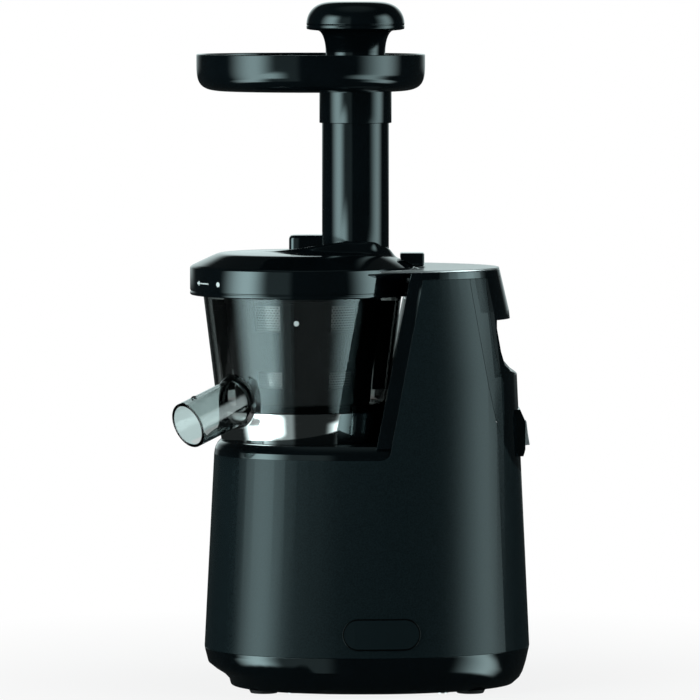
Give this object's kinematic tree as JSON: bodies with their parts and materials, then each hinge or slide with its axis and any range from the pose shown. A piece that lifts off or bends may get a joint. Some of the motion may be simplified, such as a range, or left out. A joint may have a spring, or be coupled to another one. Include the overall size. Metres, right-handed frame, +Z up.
{
  "type": "slow juicer",
  "caption": "Vertical slow juicer: oval motor base with rear tower, clear bowl with spout, steel foot band, screw press, twist lid, feed chute, hopper tray and pusher.",
  "frame": {"origin": "on the surface the juicer stands on, midway along the housing and on its middle plane", "axes": "+Z up, +X to the rear tower and switch, -X to the bowl and spouts, -Y to the side with the juice spout"},
  "size_m": [0.2152, 0.1561, 0.4145],
  "materials": {
    "satin_housing": "fine satin moulded plastic",
    "gloss_black": "polished moulded plastic",
    "silver_plate": "silver satin lacquer",
    "black_plastic": "moulded",
    "black_rubber": "moulded rubber",
    "grey_switch": "satin moulded",
    "cast_aluminium": "as cast",
    "motor_steel": "zinc plated",
    "bright_steel": "turned",
    "copper_winding": "enamelled copper on steel laminations",
    "gear_nylon": "moulded nylon",
    "sintered_bronze": "sintered",
    "board_green": "laminate",
    "smoky_clear": "clear smoke-tinted moulding",
    "polished_steel": "mirror polished stainless steel",
    "spout_clear": "clear moulding",
    "red_silicone": "moulded silicone",
    "strainer_steel": "perforated sheet",
    "grey_silicone": "moulded silicone",
    "auger_plastic": "moulded"
  },
  "bodies": {
    "base": {"housing_shell": "satin_housing", "rear_cover": "satin_housing", "rear_panel": "gloss_black", "bowl_cradle": "gloss_black", "top_collar": "gloss_black", "top_plate": "silver_plate", "base_skirt": "gloss_black", "bottom_plate": "black_plastic", "rubber_feet": "black_rubber", "badge_plate": "gloss_black", "switch_bezel": "gloss_black", "gearbox_case": "cast_aluminium", "gearbox_lid": "cast_aluminium", "motor_can": "motor_steel", "motor_end_cap": "cast_aluminium", "stator_ring": "copper_winding", "layshaft_pin": "bright_steel", "lower_bearing": "sintered_bronze", "upper_bearing": "sintered_bronze", "shaft_seal": "black_rubber", "circuit_board": "board_green", "cord_inlet": "black_rubber", "base_screws": "bright_steel", "gearbox_screws": "bright_steel"},
    "rocker": {"switch_rocker": "grey_switch"},
    "rotor": {"rotor_core": "motor_steel", "motor_shaft": "bright_steel", "cooling_fan": "black_plastic"},
    "layshaft": {"reduction_gear": "gear_nylon"},
    "output": {"output_gear": "gear_nylon", "drive_shaft": "bright_steel"},
    "bowl_unit": {"bowl": "smoky_clear", "foot_band": "polished_steel", "juice_spout": "spout_clear", "pulp_spout": "smoky_clear", "bowl_seal": "red_silicone", "strainer_frame": "black_plastic", "strainer_mesh": "strainer_steel"},
    "brush": {"brush_frame": "black_plastic", "brush_wipers": "grey_silicone"},
    "idler": {"brush_idler": "gear_nylon"},
    "screw": {"auger": "auger_plastic", "auger_sleeve": "bright_steel"},
    "lid_ring": {"lid_gasket": "grey_silicone"},
    "lid_unit": {"lid": "gloss_black", "lid_lock_tab": "gloss_black", "feed_chute": "gloss_black"},
    "tray": {"hopper_tray": "gloss_black"},
    "pusher": {"pusher_stem": "auger_plastic", "pusher_knob": "gloss_black", "pusher_ring": "grey_silicone"}
  },
  "joints": [
    {"name": "rocker_tilt", "type": "hinge", "parent": "base", "child": "rocker", "pos_m": [0.09, 0, 0.154], "axis": [0, 1, 0], "range_deg": [-7, 7]},
    {"name": "rotor_spin", "type": "hinge", "parent": "base", "child": "rotor", "pos_m": [0.036, 0, 0.06], "axis": [0, 0, 1], "continuous": true},
    {"name": "layshaft_spin", "type": "hinge", "parent": "base", "child": "layshaft", "pos_m": [0.006, 0, 0.11], "axis": [0, 0, 1], "continuous": true},
    {"name": "output_spin", "type": "hinge", "parent": "base", "child": "output", "pos_m": [-0.039, 0, 0.12], "axis": [0, 0, 1], "continuous": true},
    {"name": "bowl_lift", "type": "slide", "parent": "base", "child": "bowl_unit", "axis": [0, 0, 1], "range_m": [0, 0.08]},
    {"name": "screw_spin", "type": "hinge", "parent": "bowl_unit", "child": "screw", "pos_m": [-0.039, 0, 0.2], "axis": [0, 0, 1], "continuous": true},
    {"name": "idler_spin", "type": "hinge", "parent": "bowl_unit", "child": "idler", "pos_m": [-0.0215, 0, 0.175], "axis": [0, 0, 1], "continuous": true},
    {"name": "brush_spin", "type": "hinge", "parent": "bowl_unit", "child": "brush", "pos_m": [-0.039, 0, 0.2], "axis": [0, 0, 1], "continuous": true},
    {"name": "lid_lift", "type": "slide", "parent": "bowl_unit", "child": "lid_ring", "axis": [0, 0, 1], "range_m": [0, 0.06]},
    {"name": "lid_turn", "type": "hinge", "parent": "lid_ring", "child": "lid_unit", "pos_m": [-0.039, 0, 0.25], "axis": [0, 0, 1], "range_deg": [0, 30]},
    {"name": "tray_lift", "type": "slide", "parent": "lid_unit", "child": "tray", "axis": [0, 0, 1], "range_m": [0, 0.05]},
    {"name": "pusher_slide", "type": "slide", "parent": "tray", "child": "pusher", "axis": [0, 0, 1], "range_m": [0, 0.12]}
  ],
  "couplings": [
    {"joint": "layshaft_spin", "follows": "rotor_spin", "ratio": -0.25},
    {"joint": "output_spin", "follows": "rotor_spin", "ratio": 0.0625},
    {"joint": "screw_spin", "follows": "rotor_spin", "ratio": 0.0625},
    {"joint": "idler_spin", "follows": "rotor_spin", "ratio": -0.083333},
    {"joint": "brush_spin", "follows": "rotor_spin", "ratio": -0.025}
  ]
}
